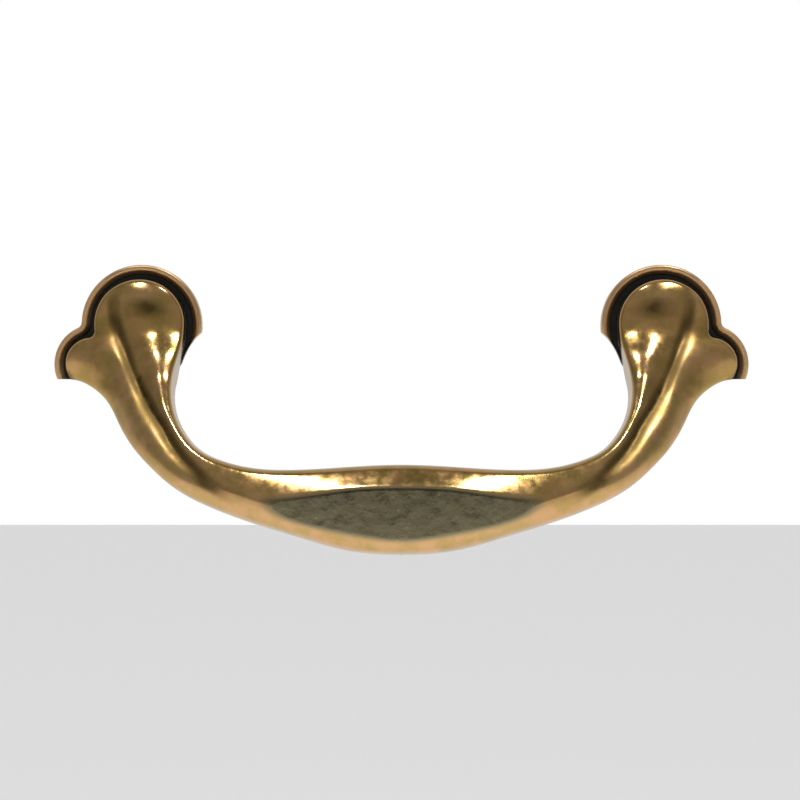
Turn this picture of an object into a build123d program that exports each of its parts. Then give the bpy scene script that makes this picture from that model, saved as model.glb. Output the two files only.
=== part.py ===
from build123d import *
from math import atan2, degrees, hypot, sqrt
import os

# Cast drawer pull, one solid with a foot at each end of a bowed grip.
# Millimetres, X to the right, Z up, the front faces -Y. The origin lies midway between the
# two screw holes, on the flat back of the feet. Depths run forward from that back.

# Screw holes, tapped from the back
hole_spacing = 76.2
hole_radius = 1.73
hole_depth = 5.0
hole_chamfer = 0.4

# Foot plate: a round lobe about the screw and a smaller one beside it, with a raised rim
plate_radius = 8.8
plate_lobe_radius = 5.85
lobe_out = 6.92
lobe_down = 5.76
plate_depth = 2.3
groove_depth = 1.3
rim_width = 0.95
rim_round = 0.4
plate_notch_round = 0.9
plate_cut_z = -7.94
plate_start_angle = 205

# Boss at the end of the arm, with the same two lobes, standing in the groove
boss_radius = 6.55
boss_lobe_radius = 3.8
boss_notch_round = 0.9
boss_corner_round = 0.9

# Leaf facet of the grip: an upright cylinder of large radius shaves the crown
leaf_depth = 24.4
leaf_bow_radius = 160.0

# Back of the arm, crowned across, and the rounding of the front edges
grip_back = 17.2
back_crown = 1.6
front_round = 0.45

foot_x = hole_spacing / 2
lobe_x = foot_x + lobe_out
lobe_z = -lobe_down
reach = 40.0

# Front outline of the right arm. Both curves start one point past the middle of the grip, so
# that they cross it level.
inner_outline = [
    (-7.15, -20.31), (0, -20.03), (7.15, -20.31), (15.6, -20.76), (21.2, -20.46), (25.5, -19.39),
    (28.43, -17.97), (30.3, -16.1), (31.83, -13.58), (32.62, -11.0), (32.84, -8.6), (32.4, -5.6),
    (31.7, -2.6), (foot_x - boss_radius, 0),
]
outer_outline = [
    (lobe_x + boss_lobe_radius, plate_cut_z), (46.56, -8.31), (44.75, -9.18), (42.6, -10.93),
    (40.9, -13.5), (38.7, -16.9), (35.6, -20.24), (31.55, -23.54), (26.8, -26.0), (20.2, -28.4),
    (14.5, -30.1), (8.6, -31.75), (0, -32.5), (-8.6, -31.75),
]

# Inner trim of the foot plate, a scoop that runs from its round lobe into the arm
scoop = [(28.6, -0.5), (29.5, -1.2), (30.5, -2.2), (31.6, -3.9), (32.6, -6.2), (33.6, plate_cut_z)]

# Cross sections of the arm. Each stands on a line of the front view, from a point on the inner
# outline to one on the outer, and holds the depth of its back and the points of its front:
# distance from the inner point, then depth, at the inner margin, the inner edge, the main
# ridge, the valley or leaf, the outer ridge, the outer edge and the outer margin.
sections = [
    ((0, -20.03), (0, -32.5), grip_back,
     [(-1.5, 20.4), (0, 22.0), (2.9, 24.4), (6.7, 26.2), (10.5, 24.4), (12.5, 22.2), (14, 20.3)]),
    ((8.6, -20.45), (8.6, -31.75), 17.0,
     [(-1.5, 20.3), (0, 21.8), (2.95, 24.17), (5.9, 25.4), (8.95, 24.17), (11.3, 21.9), (12.8, 20.2)]),
    ((16.3, -20.75), (17.0, -29.4), 16.6,
     [(-1.5, 20.0), (0, 21.25), (3.6, 23.5), (5.2, 23.9), (6.7, 23.4), (8.7, 21.2), (10.2, 19.3)]),
    ((22.0, -20.3), (23.9, -27.15), 16.0,
     [(-1.5, 19.4), (0, 20.6), (1.8, 21.65), (3.4, 22.2), (5.2, 21.9), (7.1, 20.4), (8.5, 18.7)]),
    ((26.3, -19.1), (30.2, -24.3), 15.0,
     [(-1.2, 19.1), (0, 19.9), (1.2, 20.5), (3.0, 20.9), (4.7, 20.9), (6.5, 19.4), (7.9, 17.5)]),
    ((29.5, -17.0), (34.7, -21.1), 13.0,
     [(-1.2, 17.6), (0, 18.4), (1.2, 18.8), (2.4, 18.6), (4.3, 18.9), (6.6, 17.1), (8.0, 15.1)]),
    ((31.6, -14.0), (37.9, -17.75), 10.5,
     [(-1.2, 15.3), (0, 16.15), (1.2, 16.6), (2.3, 16.2), (4.4, 16.6), (7.3, 14.4), (8.8, 12.2)]),
    ((32.55, -11.4), (40.3, -14.4), 7.5,
     [(-1.2, 13.5), (0, 14.3), (1.6, 14.8), (3.1, 14.0), (5.5, 14.1), (8.3, 11.4), (9.8, 9.2)]),
    ((32.8, -9.3), (42.2, -11.4), 3.8,
     [(-1.2, 11.9), (0, 12.6), (2.0, 13.1), (4.2, 12.1), (6.4, 11.9), (9.6, 8.8), (11.1, 6.6)]),
    ((32.7, -7.4), (46.6, -8.2), 0.6,
     [(-1.5, 10.2), (0, 11.0), (2.6, 11.5), (5.3, 10.4), (7.6, 10.1), (13.9, 5.8), (15.5, 4.8)]),
    ((31.9, -4.4), (48.6, -4.4), 0.5,
     [(-1.5, 8.3), (0, 9.0), (3.8, 9.75), (7.7, 8.6), (10.0, 8.3), (16.7, 5.4), (18.2, 4.9)]),
    ((31.4, -1.0), (44.6, -1.0), 0.5,
     [(-1.5, 6.0), (0, 6.6), (4.8, 7.45), (9.4, 6.6), (11.3, 6.3), (13.2, 5.6), (16.7, 4.6)]),
    ((31.6, 1.0), (44.6, 1.0), 0.5,
     [(-1.5, 5.5), (0, 6.0), (4.9, 6.7), (9.6, 6.15), (11.2, 5.9), (12.8, 5.3), (15.5, 4.5)]),
    ((32.2, 4.0), (44.0, 4.0), 0.5,
     [(-1.5, 4.9), (0, 5.4), (5.0, 6.4), (9.5, 5.8), (10.7, 5.6), (11.8, 5.2), (14.3, 4.5)]),
    ((32.2, 7.5), (44.0, 7.5), 0.5,
     [(-1.5, 3.3), (0, 3.7), (5.0, 4.4), (9.5, 4.0), (10.7, 3.9), (11.8, 3.6), (14.3, 3.1)]),
    ((32.2, 12.0), (44.0, 12.0), 0.5,
     [(-1.5, 1.0), (0, 1.2), (5.0, 1.5), (9.5, 1.3), (10.7, 1.2), (11.8, 1.1), (14.3, 1.0)]),
]


def across_the_middle(section):
    """The same section on the left of the middle, which keeps the loft level there."""
    inner, outer, back, front = section
    return (-inner[0], inner[1]), (-outer[0], outer[1]), back, front


def section_plane(inner, outer):
    """The upright plane of a section: its x runs from the inner point, its y is the depth."""
    run = Vector(outer[0] - inner[0], 0, outer[1] - inner[1]).normalized()
    return Plane(origin=(inner[0], 0, inner[1]), x_dir=run, z_dir=(run.Z, 0, -run.X))


def two_lobes(radius, lobe_radius, start_angle, end_angle):
    """Draws the arcs of the round lobe and the small lobe, which meet in a notch."""
    lobe_distance = hypot(lobe_out, lobe_down)
    to_chord = (radius**2 - lobe_radius**2 + lobe_distance**2) / (2 * lobe_distance)
    rise = degrees(atan2(sqrt(radius**2 - to_chord**2), to_chord))
    notch_angle = rise - degrees(atan2(lobe_down, lobe_out))
    big = CenterArc((foot_x, 0), radius, start_angle, notch_angle - start_angle)
    notch = big @ 1
    from_lobe = degrees(atan2(notch.Y - lobe_z, notch.X - lobe_x))
    small = CenterArc((lobe_x, lobe_z), lobe_radius, from_lobe, end_angle - from_lobe)
    return big @ 0, notch, small @ 1


# Foot plate: floor, raised rim and groove, cut off below and scooped out beside the arm
with BuildPart() as plate:
    with BuildSketch(Plane.XZ) as plate_outline:
        with BuildLine():
            first, notch, last = two_lobes(plate_radius, plate_lobe_radius, plate_start_angle, -90)
            Polyline(last, (first.X, last.Y), first)
        make_face()
        fillet(plate_outline.vertices().sort_by_distance(notch)[0], plate_notch_round)
    extrude(amount=plate_depth, dir=(0, -1, 0))
    with BuildSketch(Plane.XZ.offset(plate_depth)):
        add(plate_outline.sketch_local)
        offset(amount=-rim_width)
    extrude(amount=groove_depth, dir=(0, 1, 0), mode=Mode.SUBTRACT)
    rim = plate.faces().filter_by(Plane.XZ).sort_by(Axis.Y)[0]
    fillet(rim.edges(), rim_round)
    with BuildSketch(Plane.XZ):
        with BuildLine():
            trim = Spline(*scoop)
            low, high = trim @ 1, trim @ 0
            Polyline(low, low + (reach, 0), low + (reach, reach), high + (0, reach), high)
        make_face()
    extrude(amount=reach, dir=(0, -1, 0), mode=Mode.INTERSECT)

# Arm with its boss: the lofted bar, trimmed to the front outline, its front edges rounded and
# the leaf facet shaved off its crown
with BuildPart() as arm:
    left_sections = [across_the_middle(sections[2]), across_the_middle(sections[1])]
    for inner, outer, back, front in left_sections + sections:
        near, far = front[0][0], front[-1][0]
        side = back + back_crown * back / grip_back
        with BuildSketch(section_plane(inner, outer)):
            with BuildLine():
                Spline(*front)
                Line(front[-1], (far, side))
                ThreePointArc((far, side), ((near + far) / 2, back), (near, side))
                Line((near, side), front[0])
            make_face()
    loft()
    with BuildSketch(Plane.XZ) as arm_outline:
        with BuildLine():
            Spline(*inner_outline)
            first, notch, last = two_lobes(boss_radius, boss_lobe_radius, 180, 0)
            Line(last, outer_outline[0])
            Spline(*outer_outline)
            Line(outer_outline[-1], inner_outline[0])
        make_face()
        fillet(arm_outline.vertices().sort_by_distance(notch)[0], boss_notch_round)
        fillet(arm_outline.vertices().sort_by_distance(outer_outline[0])[0], boss_corner_round)
    extrude(amount=reach, dir=(0, -1, 0), mode=Mode.INTERSECT)
    split(bisect_by=Plane.YZ)
    crown = arm.faces().filter_by(GeomType.BSPLINE).sort_by(Axis.Y)[0]
    on_middle = arm.edges().filter_by_position(Axis.X, -0.01, 0.01)
    fillet(crown.edges() - on_middle, front_round)
    with BuildSketch(Plane.XY):
        with Locations((0, leaf_bow_radius - leaf_depth)):
            Rectangle(3 * leaf_bow_radius, 3 * leaf_bow_radius)
            Circle(leaf_bow_radius, mode=Mode.SUBTRACT)
    extrude(amount=-reach, mode=Mode.SUBTRACT)

# The whole casting: both parts of the right half, its tapped hole, and the mirrored left half
with BuildPart() as casting:
    add(plate.part)
    add(arm.part)
    with Locations(Plane((foot_x, 0, 0), z_dir=(0, 1, 0))):
        CounterSinkHole(hole_radius, hole_radius + hole_chamfer, hole_depth, 90)
    mirror(about=Plane.YZ)

casting.part.label = "handle"
os.makedirs("parts", exist_ok=True)
export_step(casting.part, "parts/handle.step")
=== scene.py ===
import math

import bmesh
import bpy
import numpy as np
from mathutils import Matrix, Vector
from mathutils.bvhtree import BVHTree
from mathutils.geometry import delaunay_2d_cdt


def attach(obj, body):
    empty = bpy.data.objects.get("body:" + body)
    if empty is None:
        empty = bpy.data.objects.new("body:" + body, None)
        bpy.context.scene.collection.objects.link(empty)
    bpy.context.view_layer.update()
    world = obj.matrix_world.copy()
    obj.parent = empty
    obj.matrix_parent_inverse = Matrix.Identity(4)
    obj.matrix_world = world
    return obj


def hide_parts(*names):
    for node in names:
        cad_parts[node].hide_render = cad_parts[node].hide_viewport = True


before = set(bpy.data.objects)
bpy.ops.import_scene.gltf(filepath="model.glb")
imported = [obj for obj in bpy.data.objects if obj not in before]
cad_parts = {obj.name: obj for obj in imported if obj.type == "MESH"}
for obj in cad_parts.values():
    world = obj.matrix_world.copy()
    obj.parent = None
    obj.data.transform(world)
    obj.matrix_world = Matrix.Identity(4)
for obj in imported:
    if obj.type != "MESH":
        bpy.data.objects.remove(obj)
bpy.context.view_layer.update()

# The casting. One piece of brass: a bowed grip whose arms turn back to the drawer and end in a
# boss on each foot. Cast, filed and relieved by hand, so its edges are soft and its ridges worn.
# Millimetres in this section; depths run forward from the flat back of the feet.

foot_x = 38.1
lobe_out, lobe_down = 6.92, 5.76
boss_radius, boss_lobe_radius = 6.55, 3.8
lobe_notch = 0.9
cut_z = -7.94

# Outline of the right arm as seen from the front
inner_outline = [
    (-7.15, -20.31), (0, -20.03), (7.15, -20.31), (15.6, -20.76), (21.2, -20.46), (25.5, -19.39),
    (28.43, -17.97), (30.3, -16.1), (31.83, -13.58), (32.62, -11.0), (32.84, -8.6), (32.4, -5.6),
    (31.7, -2.6), (31.55, 0),
]
outer_outline = [
    (48.82, -7.94), (46.56, -8.31), (44.75, -9.18), (42.6, -10.93), (40.9, -13.5), (38.7, -16.9),
    (35.6, -20.24), (31.55, -23.54), (26.8, -26.0), (20.2, -28.4), (14.5, -30.1), (8.6, -31.75),
    (0, -32.5), (-8.6, -31.75),
]

# Sections across the arm: inner point, outer point, depth of the back, and the front as
# (distance from the inner point, depth)
sections = [
    ((0, -20.03), (0, -32.5), 17.2,
     [(-1.5, 20.4), (0, 22.0), (2.9, 24.4), (6.7, 26.2), (10.5, 24.4), (12.5, 22.2), (14, 20.3)]),
    ((8.6, -20.45), (8.6, -31.75), 17.0,
     [(-1.5, 20.3), (0, 21.8), (2.95, 24.17), (5.9, 25.4), (8.95, 24.17), (11.3, 21.9), (12.8, 20.2)]),
    ((16.3, -20.75), (17.0, -29.4), 16.6,
     [(-1.5, 20.0), (0, 21.25), (3.6, 23.5), (5.2, 23.9), (6.7, 23.4), (8.7, 21.2), (10.2, 19.3)]),
    ((22.0, -20.3), (23.9, -27.15), 16.0,
     [(-1.5, 19.4), (0, 20.6), (1.8, 21.65), (3.4, 22.2), (5.2, 21.9), (7.1, 20.4), (8.5, 18.7)]),
    ((26.3, -19.1), (30.2, -24.3), 15.0,
     [(-1.2, 19.1), (0, 19.9), (1.2, 20.5), (3.0, 20.9), (4.7, 20.9), (6.5, 19.4), (7.9, 17.5)]),
    ((29.5, -17.0), (34.7, -21.1), 13.0,
     [(-1.2, 17.6), (0, 18.4), (1.2, 18.8), (2.4, 18.6), (4.3, 18.9), (6.6, 17.1), (8.0, 15.1)]),
    ((31.6, -14.0), (37.9, -17.75), 10.5,
     [(-1.2, 15.3), (0, 16.15), (1.2, 16.6), (2.3, 16.2), (4.4, 16.6), (7.3, 14.4), (8.8, 12.2)]),
    ((32.55, -11.4), (40.3, -14.4), 7.5,
     [(-1.2, 13.5), (0, 14.3), (1.6, 14.8), (3.1, 14.0), (5.5, 14.1), (8.3, 11.4), (9.8, 9.2)]),
    ((32.8, -9.3), (42.2, -11.4), 3.8,
     [(-1.2, 11.9), (0, 12.6), (2.0, 13.1), (4.2, 12.1), (6.4, 11.9), (9.6, 8.8), (11.1, 6.6)]),
    ((32.7, -7.4), (46.6, -8.2), 0.6,
     [(-1.5, 10.2), (0, 11.0), (2.6, 11.5), (5.3, 10.4), (7.6, 10.1), (13.9, 5.8), (15.5, 4.8)]),
    ((31.9, -4.4), (48.6, -4.4), 0.5,
     [(-1.5, 8.3), (0, 9.0), (3.8, 9.75), (7.7, 8.6), (10.0, 8.3), (16.7, 5.4), (18.2, 4.9)]),
    ((31.4, -1.0), (44.6, -1.0), 0.5,
     [(-1.5, 6.0), (0, 6.6), (4.8, 7.45), (9.4, 6.6), (11.3, 6.3), (13.2, 5.6), (16.7, 4.6)]),
    ((31.6, 1.0), (44.6, 1.0), 0.5,
     [(-1.5, 5.5), (0, 6.0), (4.9, 6.7), (9.6, 6.15), (11.2, 5.9), (12.8, 5.3), (15.5, 4.5)]),
    ((32.2, 4.0), (44.0, 4.0), 0.5,
     [(-1.5, 4.9), (0, 5.4), (5.0, 6.4), (9.5, 5.8), (10.7, 5.6), (11.8, 5.2), (14.3, 4.5)]),
    ((32.2, 7.5), (44.0, 7.5), 0.5,
     [(-1.5, 3.3), (0, 3.7), (5.0, 4.4), (9.5, 4.0), (10.7, 3.9), (11.8, 3.6), (14.3, 3.1)]),
    ((32.2, 12.0), (44.0, 12.0), 0.5,
     [(-1.5, 1.0), (0, 1.2), (5.0, 1.5), (9.5, 1.3), (10.7, 1.2), (11.8, 1.1), (14.3, 1.0)]),
]
back_crown = 1.6
leaf_depth = 24.4
leaf_bow_radius = 160.0
edge_round = 0.5
back_round = 0.7


def spline(knots, values, at):
    """Natural cubic spline through the values at the knots, read at the numbers in at."""
    knots, values, at = (np.asarray(a, float) for a in (knots, values, at))
    gap = np.diff(knots)
    slope = np.diff(values, axis=0) / gap.reshape(-1, *[1] * (values.ndim - 1))
    count = len(knots)
    matrix, right = np.eye(count), np.zeros_like(values)
    for i in range(1, count - 1):
        matrix[i, i - 1 : i + 2] = gap[i - 1], 2 * (gap[i - 1] + gap[i]), gap[i]
        right[i] = 6 * (slope[i] - slope[i - 1])
    bend = np.linalg.solve(matrix, right.reshape(count, -1)).reshape(values.shape)
    i = np.clip(np.searchsorted(knots, at) - 1, 0, count - 2)
    column = (-1, *[1] * (values.ndim - 1))
    width, left, rest = (a.reshape(column) for a in (gap[i], knots[i + 1] - at, at - knots[i]))
    return (
        (bend[i] * left**3 + bend[i + 1] * rest**3) / (6 * width)
        + (values[i] / width - bend[i] * width / 6) * left
        + (values[i + 1] / width - bend[i + 1] * width / 6) * rest
    )


def curve_through(points, step):
    """A smooth line through the points, in steps of about that length."""
    points = np.array(points, float)
    run = np.concatenate([[0], np.cumsum(np.linalg.norm(np.diff(points, axis=0), axis=1))])
    return spline(run, points, np.linspace(0, run[-1], max(2, int(run[-1] / step) + 1)))


def arc(centre, radius, start, end, step):
    """Points on an arc, angles in degrees."""
    count = max(2, int(abs(math.radians(end - start)) * radius / step) + 1)
    angle = np.radians(np.linspace(start, end, count))
    return np.stack([centre[0] + radius * np.cos(angle), centre[1] + radius * np.sin(angle)], 1)


def two_lobes(radius, lobe_radius, notch_round, start, end, step):
    """The round lobe about the screw and the smaller one beside it, their notch rounded."""
    big, small = np.array([foot_x, 0.0]), np.array([foot_x + lobe_out, -lobe_down])
    apart = math.hypot(lobe_out, lobe_down)
    a, b = radius + notch_round, lobe_radius + notch_round
    along = (a * a - b * b + apart * apart) / (2 * apart)
    across = math.sqrt(a * a - along * along)
    run = (small - big) / apart
    side = np.array([-run[1], run[0]])
    hollow = big + run * along + side * across

    def heading(p, q):
        return math.degrees(math.atan2(q[1] - p[1], q[0] - p[0]))

    into_notch = heading(hollow, big)
    into_notch += 360 * (into_notch < 0)
    return np.concatenate([
        arc(big, radius, start, heading(big, hollow), step)[:-1],
        arc(hollow, notch_round, into_notch, heading(hollow, small) + 360, step)[:-1],
        arc(small, lobe_radius, heading(small, hollow), end, step),
    ])


def inside(points, polygon):
    """Which of the points lie inside the polygon."""
    ends = np.roll(polygon, -1, axis=0)
    found = np.zeros(len(points), bool)
    for first in range(0, len(points), 2000):
        x, z = points[first : first + 2000, 0:1], points[first : first + 2000, 1:2]
        crosses = (polygon[:, 1] > z) != (ends[:, 1] > z)
        with np.errstate(divide="ignore", invalid="ignore"):
            run, rise = (ends - polygon).T
            at = polygon[:, 0] + (z - polygon[:, 1]) * run / rise
        found[first : first + 2000] = (crosses & (x < at)).sum(1) % 2 == 1
    return found


def distance(points, line):
    """Distance from each point to the nearest stretch of the line."""
    start, run = line[:-1], np.diff(line, axis=0)
    length = (run**2).sum(1)
    least = np.empty(len(points))
    for first in range(0, len(points), 2000):
        offset = points[first : first + 2000, None, :] - start
        part = np.clip((offset * run).sum(2) / length, 0, 1)
        least[first : first + 2000] = np.sqrt(((offset - part[..., None] * run) ** 2).sum(2)).min(1)
    return least


def inward_rows(line, gaps):
    """Copies of the line set in by each of the gaps, on its right-hand side as it runs."""
    run = np.gradient(line, axis=0)
    run /= np.linalg.norm(run, axis=1)[:, None]
    rows = []
    for gap in gaps:
        row = line + gap * np.stack([run[:, 1], -run[:, 0]], 1)
        rows.append(row[distance(row, line) > 0.97 * gap])
    return rows


def triangles(lines, points, wanted):
    """A plane triangulation that keeps the lines and takes in the points, cut to where wanted says."""
    corners, edges = [], []
    for line in lines:
        first = len(corners)
        corners += [tuple(p) for p in line]
        edges += [(i, i + 1) for i in range(first, len(corners) - 1)]
    corners += [tuple(p) for p in points]
    made, _, faces, *_ = delaunay_2d_cdt([Vector(p) for p in corners], edges, [], 0, 1e-5)
    made, faces = np.array([tuple(p) for p in made]), np.array([tuple(f) for f in faces])
    faces = faces[wanted(made[faces].mean(1))]
    used = np.unique(faces)
    number = np.full(len(made), -1)
    number[used] = np.arange(len(used))
    return made[used], number[faces]


def hexagon_points(low, high, spacing):
    """Evenly spread points that fill a box."""
    rows = []
    for k, z in enumerate(np.arange(low[1], high[1], spacing * 0.866)):
        x = np.arange(low[0] + spacing / 2 * (k % 2), high[0], spacing)
        rows.append(np.stack([x, np.full(len(x), z)], 1))
    return np.concatenate(rows)


def shell(plan, faces, front, back, wall_rows):
    """A closed skin over a plane triangulation: its front, its back, and walls round the edge."""
    count = len(plan)
    points = [np.stack([plan[:, 0], y, plan[:, 1]], 1) for y in (front, back)]
    a, b, c = (plan[corner] for corner in faces.T)
    turned = (b[:, 0] - a[:, 0]) * (c[:, 1] - a[:, 1]) - (b[:, 1] - a[:, 1]) * (c[:, 0] - a[:, 0]) < 0
    faces = np.where(turned[:, None], faces[:, ::-1], faces)
    skin = [*faces.tolist(), *(faces[:, ::-1] + count).tolist()]
    directed = {(f[i], f[(i + 1) % 3]) for f in faces.tolist() for i in range(3)}
    rim = [e for e in directed if (e[1], e[0]) not in directed]
    columns = {}
    total = 2 * count
    for i in {e[0] for e in rim}:
        middle = [
            (plan[i, 0], front[i] + (back[i] - front[i]) * k / wall_rows, plan[i, 1])
            for k in range(1, wall_rows)
        ]
        columns[i] = [i, *range(total, total + len(middle)), count + i]
        total += len(middle)
        points.append(np.array(middle).reshape(-1, 3))
    for i, j in rim:
        for k in range(wall_rows):
            skin.append((columns[j][k], columns[i][k], columns[i][k + 1], columns[j][k + 1]))
    return np.concatenate(points), skin


def mesh_object(name, points, faces):
    """A Blender object from millimetre points."""
    mesh = bpy.data.meshes.new(name)
    mesh.from_pydata((np.asarray(points) / 1000).tolist(), [], faces)
    made = bpy.data.objects.new(name, mesh)
    bpy.context.scene.collection.objects.link(made)
    return made


# The arm's plan: its outline, rows set in from it for the soft edge, and an even fill
step = 0.2
edge_insets = [0.012, 0.045, 0.1, 0.17, 0.26, 0.37, 0.5, 0.7, 0.9]
fill_spacing, fill_clear = 0.26, 1.05
inner = curve_through(inner_outline, step)
outer = curve_through(outer_outline, step)
arm_outline = np.concatenate([
    [(0, -20.03)],
    inner[(inner[:, 0] > 0.05) & (np.arange(len(inner)) > 10)][:-1],
    two_lobes(boss_radius, boss_lobe_radius, lobe_notch, 180, -30, step),
    outer[outer[:, 0] > 0.05][4:],
    [(0, -32.5)],
])
edge_rows = [
    np.concatenate([[(0, row[0][1])], row[row[:, 0] > 0.02], [(0, row[-1][1])]])
    for row in inward_rows(arm_outline, edge_insets)
]
fill = hexagon_points((0.15, -33), (50, 7), fill_spacing)
fill = fill[inside(fill, arm_outline)]
fill = fill[distance(fill, arm_outline) > fill_clear]
centre_line = np.stack([np.zeros(44), np.linspace(-31.6, -20.9, 44)], 1)
plan, faces = triangles(
    [arm_outline, *edge_rows], np.concatenate([fill, centre_line]), lambda p: inside(p, arm_outline)
)

# Heights of its front and back, from smooth skins through the sections
left_sections = [((-i[0], i[1]), (-o[0], o[1]), b, f) for i, o, b, f in (sections[2], sections[1])]
front_points, back_points = [], []
for near, far, depth, front in left_sections + sections:
    near, far = np.array(near, float), np.array(far, float)
    run = (far - near) / np.linalg.norm(far - near)
    front_points.append([(*(near + run * d), y) for d, y in front])
    ends = np.array([front[0][0], front[-1][0]])
    across = np.linspace(-1, 1, 9)
    crown = back_crown * depth / sections[0][2]
    back_points.append([
        (*(near + run * (ends.mean() + u * (ends[1] - ends[0]) / 2)), depth + crown * u * u)
        for u in across
    ])


def height_map(skin_points, from_front):
    """Depth of the skin through the points on an even grid, read by rays from the front or back."""
    skin_points = np.array(skin_points, float)
    across = np.linalg.norm(np.diff(skin_points[:, :, :2], axis=1), axis=2)
    across = np.concatenate([[0], np.cumsum((across / across.sum(1)[:, None]).mean(0))])
    dense = spline(across, skin_points.transpose(1, 0, 2), np.linspace(0, 1, 130)).transpose(1, 0, 2)
    middle = dense[:, 65, :]
    along = np.concatenate([[0], np.cumsum(np.linalg.norm(np.diff(middle, axis=0), axis=1))])
    dense = spline(along, dense, np.linspace(0, along[-1], 520))
    n, m, _ = dense.shape
    quads = [
        (i * m + j, i * m + j + 1, (i + 1) * m + j + 1, (i + 1) * m + j)
        for i in range(n - 1) for j in range(m - 1)
    ]
    tree = BVHTree.FromPolygons([(p[0], -p[2], p[1]) for p in dense.reshape(-1, 3).tolist()], quads)
    depth = np.full((len(map_z), len(map_x)), np.nan)
    start, way = (-60.0, Vector((0, 1, 0))) if from_front else (30.0, Vector((0, -1, 0)))
    for j, z in enumerate(map_z):
        for i, x in enumerate(map_x):
            hit = tree.ray_cast(Vector((x, start, z)), way)[0]
            if hit is not None:
                depth[j, i] = -hit.y
    return depth


def spread(values):
    """Fills the empty cells from their neighbours, outwards."""
    values = values.copy()
    for _ in range(400):
        empty = np.isnan(values)
        if not empty.any():
            break
        near = np.stack([np.roll(values, s, axis) for axis in (0, 1) for s in (-1, 1)])
        some = np.isfinite(near).any(0) & empty
        values[some] = np.nanmean(near[:, some], axis=0)
    return values


def blurred(values, sigma):
    """Gaussian blur over the even grid, sigma in cells."""
    reach = int(3 * sigma) + 1
    weight = np.exp(-0.5 * (np.arange(-reach, reach + 1) / sigma) ** 2)
    weight /= weight.sum()
    for axis in (0, 1):
        padded = np.pad(values, [(reach, reach) if a == axis else (0, 0) for a in (0, 1)], mode="edge")
        size = values.shape[axis]
        values = sum(w * np.take(padded, range(k, k + size), axis) for k, w in enumerate(weight))
    return values


def read(values, x, z):
    """The value of the even grid at each point."""
    u, v = (x - map_x[0]) / cell, (z - map_z[0]) / cell
    i, j = np.clip(u.astype(int), 0, len(map_x) - 2), np.clip(v.astype(int), 0, len(map_z) - 2)
    a, b = u - i, v - j
    low = values[j, i] * (1 - a) + values[j, i + 1] * a
    high = values[j + 1, i] * (1 - a) + values[j + 1, i + 1] * a
    return low * (1 - b) + high * b


cell, skin_blur = 0.13, 2.0
map_x, map_z = np.arange(-2.6, 52, cell), np.arange(-34, 9, cell)
front_map = blurred(spread(height_map(front_points, True)), skin_blur)
back_map = blurred(spread(height_map(back_points, False)), skin_blur)

# The valley that parts the two ridges, chased a little deeper than the casting's own hollow. It
# fades out at the top of the boss and towards the grip.
valley_depth, valley_width = 0.14, 0.75
valley_line = curve_through([
    (41.2, 6.4), (41.69, 3.54), (41.36, 0.24), (40.6, -2.1), (39.57, -4.59), (38.85, -6.63), (38, -8.28),
    (37.06, -9.72), (35.91, -11.43), (34.74, -13.12), (33.67, -14.62), (32.75, -16.33), (30.37, -19.2),
    (28.4, -21.11), (26.2, -22.9), (22.96, -24.93),
], step)
cells = np.stack(np.meshgrid(map_x, map_z), -1).reshape(-1, 2)
near_valley = (cells[:, 0] > 20) & (cells[:, 1] < 8.5) & (cells[:, 1] > -28)
from_valley = np.full(len(cells), 9.0)
from_valley[near_valley] = distance(cells[near_valley], valley_line)
from_valley = from_valley.reshape(len(map_z), len(map_x))
strength = np.clip((5.5 - map_z[:, None]) / 5, 0, 1) * np.clip((map_x[None, :] - 23) / 5, 0, 1)
front_map = front_map - valley_depth * (strength * np.exp(-((from_valley / valley_width) ** 2)))

# The leaf facet, filed flat across and bowed along, with a soft arris round it
soft = 0.22
leaf = leaf_depth - map_x[None, :] ** 2 / (2 * leaf_bow_radius) + 0 * map_z[:, None]
share = np.clip(0.5 + 0.5 * (leaf - front_map) / soft, 0, 1)
leaf_map = 1 - share
front_map = leaf + (front_map - leaf) * share - soft * share * (1 - share)

# The edges, rounded in front by an ellipse that grows on the grip and most of all under it
grip_wider, grip_deeper = 0.1, 0.8
under_wider, under_deeper = 0.5, 1.2
least_back = 0.5
inset = distance(plan, arm_outline[1:-1])
grip = np.clip((-18.5 - plan[:, 1]) / 3, 0, 1)
under = (distance(plan, outer) < distance(plan, inner)) * np.clip((-22 - plan[:, 1]) / 4, 0, 1)
wide = edge_round + grip_wider * grip + under_wider * under
deep = edge_round + grip_deeper * grip + under_deeper * under
drop = deep * (1 - np.sqrt(1 - np.clip((wide - inset) / wide, 0, 1) ** 2))
lift = back_round - np.sqrt(np.maximum(back_round**2 - np.maximum(back_round - inset, 0) ** 2, 0))
front_y = drop - read(front_map, plan[:, 0], plan[:, 1])
back_y = -lift - np.maximum(read(back_map, plan[:, 0], plan[:, 1]), least_back)

# Both halves, joined in the middle
middle = np.abs(plan[:, 0]) < 1e-6
number = np.full(len(plan), -1)
number[~middle] = len(plan) + np.arange((~middle).sum())
number[middle] = np.flatnonzero(middle)
mirrored = plan[~middle] * (-1, 1)
plan = np.concatenate([plan, mirrored])
faces = np.concatenate([faces, number[faces]])
front_y, back_y = (np.concatenate([y, y[~middle]]) for y in (front_y, back_y))
arm = mesh_object("pull", *shell(plan, faces, front_y, back_y, 6))

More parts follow.
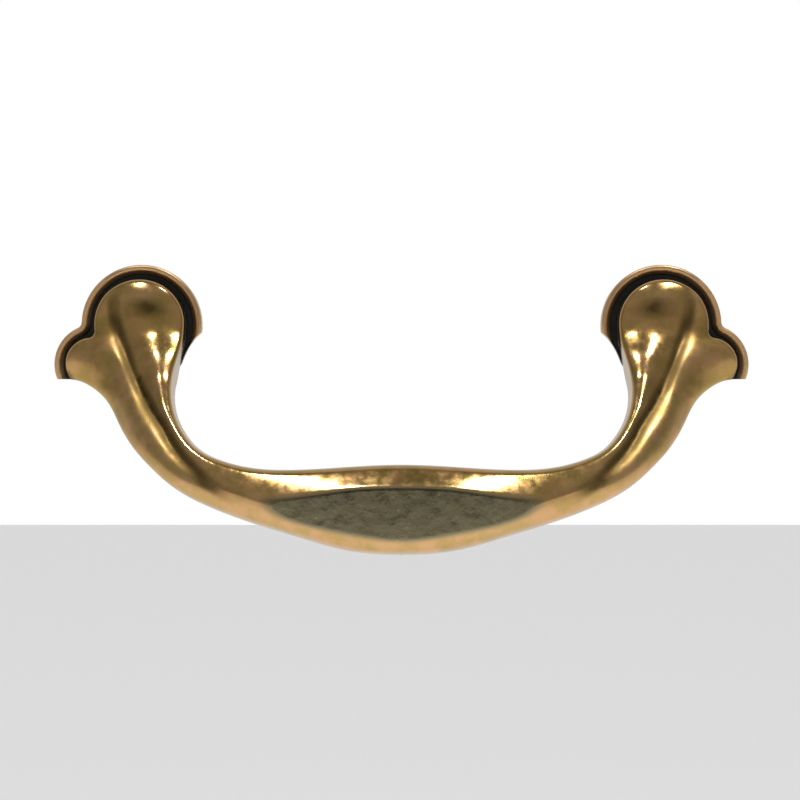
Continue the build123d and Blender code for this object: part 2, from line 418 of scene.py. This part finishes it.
# The foot plates, brass cast in one with the arm and held flat on the drawer by its screws. Each
# has a groove round the boss and a rounded rim outside it, is cut off straight below, and is
# scooped out beside the arm.
plate_radius, plate_lobe_radius = 8.8, 5.85
plate_depth, groove_floor, rim_width, rim_round = 2.3, 1.0, 0.95, 0.4
groove_slope = 0.45
scoop = curve_through([
    (28.0, -0.1), (28.6, -0.5), (29.5, -1.2), (30.5, -2.2), (31.6, -3.9), (32.6, -6.2), (33.6, cut_z),
], step)
plate_outline = two_lobes(plate_radius, plate_lobe_radius, lobe_notch, 215, -110, step)
trim = np.concatenate([scoop, [(60, cut_z), (60, 20), (20, 20), (20, -0.1)]])
bead = rim_round * (1 - np.cos(np.radians(np.linspace(0, 90, 7))))
gaps = [*bead[1:], *(rim_width - bead[::-1][1:]), rim_width + groove_slope, rim_width + 0.6]
rim_rows = inward_rows(plate_outline, gaps)
closed = np.concatenate([plate_outline, plate_outline[:1]])
plate_fill = hexagon_points((28, -8.2), (52, 9), 0.9)
plate_fill = plate_fill[inside(plate_fill, closed) & inside(plate_fill, trim)]
clear = (distance(plate_fill, plate_outline) > rim_width + 0.9) & (distance(plate_fill, trim) > 0.3)
floor_edge = np.array([(27, cut_z), (53, cut_z)])
plate_plan, plate_faces = triangles(
    [plate_outline, *rim_rows, scoop, floor_edge],
    plate_fill[clear],
    lambda p: inside(p, closed) & inside(p, trim),
)
plate_inset = distance(plate_plan, plate_outline)
near_rim = np.minimum(plate_inset, rim_width - plate_inset)
rim_drop = rim_round - np.sqrt(np.maximum(rim_round**2 - np.maximum(rim_round - near_rim, 0) ** 2, 0))
slope = np.clip((plate_inset - rim_width) / groove_slope, 0, 1)
height = np.where(
    plate_inset <= rim_width + 1e-3,
    plate_depth - np.minimum(rim_drop, rim_round),
    (plate_depth - rim_round) * (1 - slope) + groove_floor * slope,
)
plates = []
for side in (1, -1):
    flipped = plate_plan * (side, 1)
    plates.append(mesh_object("plate", *shell(flipped, plate_faces, -height, np.zeros(len(height)), 3)))

# The screw holes, drilled and tapped in the back of each foot for the two screws that come through
# the drawer front. The thread is cut in, the mouth is countersunk and the drill leaves a point.
hole_radius, thread_depth, pitch, hole_depth = 1.73, 0.3, 0.794, 5.0
overrun, countersink, drill_point = 0.3, 0.4, 0.9
turns, levels = 64, 80
hole_points = []
for k in range(levels + 1):
    y = overrun - (hole_depth + overrun) * k / levels
    for i in range(turns):
        angle = 2 * math.pi * i / turns
        wave = abs(((y / pitch + i / turns) % 1) * 2 - 1)
        radius = hole_radius + thread_depth * wave
        if y > -countersink:
            radius = max(radius, hole_radius + countersink + y)
        hole_points.append((radius * math.cos(angle), y, radius * math.sin(angle)))
hole_faces = [
    (k * turns + i, k * turns + (i + 1) % turns,
     (k + 1) * turns + (i + 1) % turns, (k + 1) * turns + i)
    for k in range(levels) for i in range(turns)
]
hole_points += [(0, overrun, 0), (0, -hole_depth - drill_point, 0)]
top, tip = len(hole_points) - 2, len(hole_points) - 1
hole_faces += [(top, (i + 1) % turns, i) for i in range(turns)]
hole_faces += [(tip, levels * turns + i, levels * turns + (i + 1) % turns) for i in range(turns)]
holes = [
    mesh_object("hole", np.array(hole_points) + (side * foot_x, 0, 0), hole_faces) for side in (1, -1)
]

# Joined and cut into one skin
for cutter, operation in [*((p, "UNION") for p in plates), *((h, "DIFFERENCE") for h in holes)]:
    for o in (arm, cutter):
        bm = bmesh.new()
        bm.from_mesh(o.data)
        bmesh.ops.recalc_face_normals(bm, faces=bm.faces)
        bm.to_mesh(o.data)
        bm.free()
    joined = arm.modifiers.new("join", "BOOLEAN")
    joined.object, joined.operation, joined.solver = cutter, operation, "MANIFOLD"
    whole = bpy.data.meshes.new_from_object(arm.evaluated_get(bpy.context.evaluated_depsgraph_get()))
    arm.modifiers.clear()
    arm.data = whole
    bpy.data.objects.remove(cutter)

mesh = arm.data
mesh.shade_smooth()
mesh.set_sharp_from_angle(angle=math.radians(35))

# Masks on the skin for the finish: how far each spot stands above or below the skin round it, the
# groove, the leaf facet, the plates, the valley, and the flank outside the valley
ridge_blur, worn_relief, plate_worn = 8, 0.35, 0.4
groove_inset, groove_fade, groove_top, groove_rise = 0.75, 0.35, 3.6, 1.4
wax_width, flank_fade, flank_start, flank_run = 1.0, 1.2, 24, 7
leaf_from = -18
points = np.empty(len(mesh.vertices) * 3)
mesh.vertices.foreach_get("co", points)
points = points.reshape(-1, 3) * 1000
x, y, z = np.abs(points[:, 0]), points[:, 1], points[:, 2]
ridge_map = front_map - blurred(front_map, ridge_blur)
flat = np.stack([x, z], 1)
on_plate = inside(flat, closed) & (y > -plate_depth - 0.01)
groove = inside(flat, closed) * np.clip((distance(flat, plate_outline) - groove_inset) / groove_fade, 0, 1)
groove = groove * np.clip((groove_top + y) / groove_rise, 0, 1) * (y < -0.01)
past_valley = np.concatenate([valley_line, [(10, -27), (10, -40), (60, -40), (60, 8)]])
flank = inside(flat, past_valley) * np.clip(distance(flat, valley_line) / flank_fade, 0, 1)
flank = flank * np.clip((x - flank_start) / flank_run, 0, 1) * (1 - read(leaf_map, x, z))
for name, values in (
    ("worn", np.where(on_plate, plate_worn, np.clip(read(ridge_map, x, z) / worn_relief, -1, 1))),
    ("groove", groove),
    ("leaf", read(leaf_map, x, z) * (y < leaf_from)),
    ("plate", on_plate),
    ("valley", read(strength * np.exp(-((from_valley / wax_width) ** 4)), x, z)),
    ("outer_side", flank),
):
    layer = mesh.attributes.new(name, "FLOAT", "POINT")
    layer.data.foreach_set("value", np.asarray(values, np.float32))

# The finish: brass browned with dark wax and then rubbed by hand, so that the ridges come up bright
# and the hollows stay dark. The groove keeps the most. The filed leaf facet has a greener patina and is
# painted darker as well, a painted dark reflection of the viewer.
brown_brass, yellow_brass = (0.50, 0.33, 0.095), (0.66, 0.385, 0.14)
bright_brass, coppery_brass = (0.67, 0.44, 0.17), (0.80, 0.48, 0.23)
dark_wax, groove_black = (0.10, 0.066, 0.024), (0.014, 0.0135, 0.010)
# The leaf facet's colour: a greener patina, made darker still as a painted dark reflection of the viewer in
# the flat facet
leaf_patina_and_painted_reflection, pale_fleck = (0.36, 0.31, 0.18), (0.85, 0.74, 0.48)
plate_brass = (0.82, 0.53, 0.27)
brass = bpy.data.materials.new("relieved_antique_brass")
brass.use_nodes = True
nodes, links = brass.node_tree.nodes, brass.node_tree.links
skin = nodes["Principled BSDF"]


def node(kind, **settings):
    """A new node of the current tree: plain settings by name, socket values by the socket's name."""
    made = nodes.new(kind)
    for key, value in settings.items():
        if hasattr(made, key):
            setattr(made, key, value)
        else:
            made.inputs[key.replace("_", " ")].default_value = value
    return made


def arithmetic(operation, *values):
    """A math node fed with sockets or numbers."""
    made = nodes.new("ShaderNodeMath")
    made.operation = operation
    for socket, value in zip(made.inputs, values):
        if isinstance(value, (int, float)):
            socket.default_value = value
        else:
            links.new(value, socket)
    return made.outputs["Value"]


def between(value, low, high, to_low, to_high):
    """A map range node, smooth and clamped."""
    made = nodes.new("ShaderNodeMapRange")
    made.interpolation_type = "SMOOTHSTEP"
    for socket, number in zip(list(made.inputs)[1:5], (low, high, to_low, to_high)):
        socket.default_value = number
    links.new(value, made.inputs["Value"])
    return made.outputs["Result"]


def blend(share, first, second):
    """A colour mix node fed with sockets or colours."""
    made = nodes.new("ShaderNodeMix")
    made.data_type = "RGBA"
    links.new(share, made.inputs["Factor"])
    for socket, value in zip(("A", "B"), (first, second)):
        socket = next(i for i in made.inputs if i.name == socket and i.type == "RGBA")
        if isinstance(value, tuple):
            socket.default_value = (*value, 1)
        else:
            links.new(value, socket)
    return next(o for o in made.outputs if o.type == "RGBA")


def stored(name):
    """The value stored on the mesh under the name."""
    return node("ShaderNodeAttribute", attribute_name=name).outputs["Fac"]


place = node("ShaderNodeTexCoord").outputs["Object"]
worn, groove_mask, leaf_mask, plate_mask = (stored(name) for name in ("worn", "groove", "leaf", "plate"))
valley, outer_flank = stored("valley"), stored("outer_side")
cloud = node("ShaderNodeTexNoise", Scale=300.0, Detail=3.0, Roughness=0.55)
links.new(place, cloud.inputs["Vector"])
mottle = node("ShaderNodeTexNoise", Scale=620.0, Detail=4.0, Roughness=0.6)
links.new(place, mottle.inputs["Vector"])

# Wax lies in the hollows, bare rubbed metal on the ridges, and the two meet unevenly
speckle = arithmetic("SUBTRACT", mottle.outputs["Fac"], 0.5)
uneven = arithmetic("ADD", worn, arithmetic("MULTIPLY", speckle, 0.9))
rubbed = between(uneven, -0.05, 0.75, 0.0, 1.0)
waxed = arithmetic("MAXIMUM", between(uneven, -0.15, -0.75, 0.0, 1.0), arithmetic("MULTIPLY", valley, 0.85))
tint = between(cloud.outputs["Fac"], 0.35, 0.65, 0.0, 1.0)
metal = blend(tint, brown_brass, yellow_brass)
bare = blend(between(cloud.outputs["Fac"], 0.42, 0.6, 0.0, 1.0), bright_brass, coppery_brass)
metal = blend(arithmetic("MULTIPLY", rubbed, 0.75), metal, bare)
metal = blend(waxed, metal, dark_wax)
flecks = node("ShaderNodeTexVoronoi", Scale=900.0)
links.new(place, flecks.inputs["Vector"])
spot = between(flecks.outputs["Distance"], 0.22, 0.1, 0.0, 0.55)
fleck = arithmetic("MULTIPLY", spot, between(mottle.outputs["Fac"], 0.5, 0.62, 0.0, 1.0))
# Leaf facet: its patina plus painted dark reflection, with pale flecks
leaf_colour_and_painted_reflection = blend(fleck, leaf_patina_and_painted_reflection, pale_fleck)
metal = blend(leaf_mask, metal, leaf_colour_and_painted_reflection)
metal = blend(plate_mask, metal, plate_brass)
metal = blend(groove_mask, metal, groove_black)
links.new(metal, skin.inputs["Base Color"])
links.new(between(groove_mask, 0.0, 1.0, 1.0, 0.25), skin.inputs["Metallic"])
rough = between(mottle.outputs["Fac"], 0.3, 0.7, 0.10, 0.2)
rough = arithmetic("ADD", rough, arithmetic("MULTIPLY", waxed, 0.25))
rough = arithmetic("ADD", rough, arithmetic("MULTIPLY", plate_mask, 0.2))
rough = arithmetic("ADD", rough, arithmetic("MULTIPLY", outer_flank, 0.17))
links.new(rough, skin.inputs["Roughness"])
lacquer = arithmetic(
    "MULTIPLY", between(waxed, 0.0, 0.6, 0.14, 0.0), between(groove_mask, 0.0, 1.0, 1.0, 0.0)
)
links.new(lacquer, skin.inputs["Coat Weight"])
skin.inputs["Coat Roughness"].default_value = 0.12

# The rubbed surface is a little wavy, with fine upright file strokes on it
stretch = node("ShaderNodeMapping")
stretch.inputs["Scale"].default_value = (9000, 700, 700)
links.new(place, stretch.inputs["Vector"])
strokes = node("ShaderNodeTexNoise", Scale=1.0, Detail=2.0)
links.new(stretch.outputs["Vector"], strokes.inputs["Vector"])
waves = node("ShaderNodeTexNoise", Scale=420.0, Detail=3.0, Roughness=0.5)
links.new(place, waves.inputs["Vector"])
hammered = node("ShaderNodeBump", Strength=0.2, Distance=0.0001)
links.new(waves.outputs["Fac"], hammered.inputs["Height"])
relief = node("ShaderNodeBump", Strength=0.1, Distance=0.00003)
links.new(strokes.outputs["Fac"], relief.inputs["Height"])
links.new(hammered.outputs["Normal"], relief.inputs["Normal"])
links.new(relief.outputs["Normal"], skin.inputs["Normal"])
mesh.materials.clear()
mesh.materials.append(brass)

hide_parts("handle")
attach(arm, "root")

# The floor, pale and plain, 450 mm below the screw holes
floor_reach, floor_z = 8, -0.45
floor_corners = [
    (side * floor_reach, along * floor_reach, floor_z)
    for side, along in ((-1, -1), (1, -1), (1, 1), (-1, 1))
]
floor_mesh = bpy.data.meshes.new("floor")
floor_mesh.from_pydata(floor_corners, [], [(0, 1, 2, 3)])
floor = bpy.data.objects.new("floor", floor_mesh)
bpy.context.scene.collection.objects.link(floor)
paper = bpy.data.materials.new("pale_floor")
paper.use_nodes = True
paper.node_tree.nodes["Principled BSDF"].inputs["Base Color"].default_value = (0.8, 0.8, 0.8, 1)
floor_mesh.materials.append(paper)

# The light: a white room for camera and diffuse rays. What the brass mirrors is a graded room
# instead, pale behind it and dark where the viewer stands. Two round soft lamps hang overhead.
room = bpy.data.worlds.new("room")
room.use_nodes = True
bpy.context.scene.world = room
nodes, links = room.node_tree.nodes, room.node_tree.links
walls = nodes["Background"]
heading = nodes.new("ShaderNodeTexCoord")
facing = nodes.new("ShaderNodeVectorMath")
facing.operation = "DOT_PRODUCT"
facing.inputs[1].default_value = (0, -1, 0)
links.new(heading.outputs["Generated"], facing.inputs[0])
fade = nodes.new("ShaderNodeValToRGB")
stops = fade.color_ramp.elements
stops[0].position, stops[0].color = 0.0, (0.62, 0.62, 0.62, 1)
stops[1].position, stops[1].color = 1.0, (0.055, 0.055, 0.055, 1)
for position, level in (
    (0.3, 0.5), (0.43, 0.24), (0.6, 0.19), (0.78, 0.28), (0.92, 0.29), (0.978, 0.18), (0.993, 0.065),
):
    stop = stops.new(position)
    stop.color = (level, level, level, 1)
turned = nodes.new("ShaderNodeMath")
turned.operation = "MULTIPLY_ADD"
turned.inputs[1].default_value, turned.inputs[2].default_value = 0.5, 0.5
links.new(facing.outputs["Value"], turned.inputs[0])
links.new(turned.outputs["Value"], fade.inputs["Fac"])
links.new(fade.outputs["Color"], walls.inputs["Color"])
white = nodes.new("ShaderNodeBackground")
white.inputs["Color"].default_value = (1, 1, 1, 1)
seen = nodes.new("ShaderNodeLightPath")
choose = nodes.new("ShaderNodeMixShader")
plain = nodes.new("ShaderNodeMath")
plain.operation = "MAXIMUM"
links.new(seen.outputs["Is Camera Ray"], plain.inputs[0])
links.new(seen.outputs["Is Diffuse Ray"], plain.inputs[1])
links.new(plain.outputs["Value"], choose.inputs["Fac"])
links.new(walls.outputs["Background"], choose.inputs[1])
links.new(white.outputs["Background"], choose.inputs[2])
links.new(choose.outputs["Shader"], nodes["World Output"].inputs["Surface"])

lamp_distance = 0.9
for name, azimuth, rise, width, energy in (
    ("left_lamp", -26, 64, 0.085, 1.1),
    ("right_lamp", 40, 63, 0.12, 1.9),
):
    lamp = bpy.data.lights.new(name, "AREA")
    lamp.shape, lamp.size, lamp.energy = "DISK", width, energy
    holder = bpy.data.objects.new(name, lamp)
    bpy.context.scene.collection.objects.link(holder)
    turn, rise = math.radians(azimuth), math.radians(rise)
    way = Vector((math.sin(turn) * math.cos(rise), -math.cos(turn) * math.cos(rise), math.sin(rise)))
    holder.location = way * lamp_distance
    holder.rotation_euler = (-way).to_track_quat("-Z", "Y").to_euler()

# The camera, level and straight in front, as wide as the photograph at the pull's distance
view_distance, view_width = 350, 117.9
camera = bpy.data.cameras.new("camera")
camera.lens = 36 * view_distance / view_width
camera.clip_start, camera.clip_end = 0.01, 20
viewer = bpy.data.objects.new("camera", camera)
bpy.context.scene.collection.objects.link(viewer)
viewer.location = (-0.00022, -0.35, -0.011)
viewer.rotation_euler = (math.radians(90), 0, 0)
bpy.context.scene.camera = viewer
bpy.context.scene.view_settings.view_transform = "Standard"
